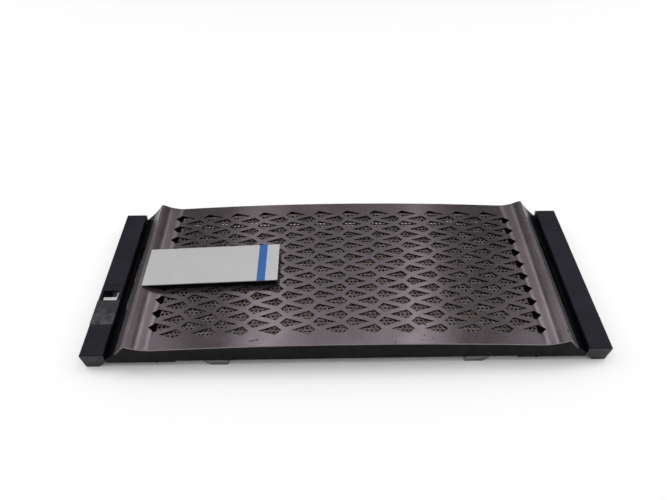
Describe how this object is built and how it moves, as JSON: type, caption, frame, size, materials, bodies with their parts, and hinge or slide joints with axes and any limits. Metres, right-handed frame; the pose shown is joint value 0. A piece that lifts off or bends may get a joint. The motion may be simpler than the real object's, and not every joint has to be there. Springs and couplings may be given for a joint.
{
  "type": "server front bezel",
  "caption": "Clip-on rack front bezel: a curved panel with a lattice of kite-shaped air holes over a steel screen, a raised nameplate and dark end caps with finger slots",
  "frame": {"origin": "middle of the bezel's width and height, in the plane of the end caps' rear rims", "axes": "X runs along the rack width towards the cap with the blanking plug, Y up the rack, Z out of the front face; the bezel lies on its back"},
  "size_m": [0.4826, 0.177, 0.0423],
  "materials": {
    "panel": "satin gunmetal paint",
    "frame": "fine grain",
    "cap": "fine grain",
    "screen": "zinc plated",
    "strip": "zinc plated",
    "screw": "dark zinc",
    "catch": "natural nylon",
    "lens": "smoked, dusty",
    "pipe": "milky",
    "plate": "fine brushed",
    "band": "blue, satin",
    "carrier": "fine grain",
    "hook": "grey, fine grain"
  },
  "bodies": {
    "root": {"grille_panel": "panel", "rear_frame": "frame", "mesh_screen": "screen", "screen_strip_upper": "strip", "screen_strip_lower": "strip", "strip_screws": "screw", "panel_screws": "screw", "left_end_cap": "cap", "right_end_cap": "cap", "cap_screws": "screw", "ball_catch_left_upper": "catch", "ball_catch_left_lower": "catch", "ball_catch_right_upper": "catch", "ball_catch_right_lower": "catch", "status_lens": "lens", "light_pipe": "pipe", "blanking_plug": "cap", "nameplate": "plate", "nameplate_carrier": "carrier", "nameplate_band": "band", "carrier_push_nuts": "screw", "lower_hook_left": "hook", "lower_hook_right": "hook", "hook_screws": "screw"}
  },
  "joints": []
}
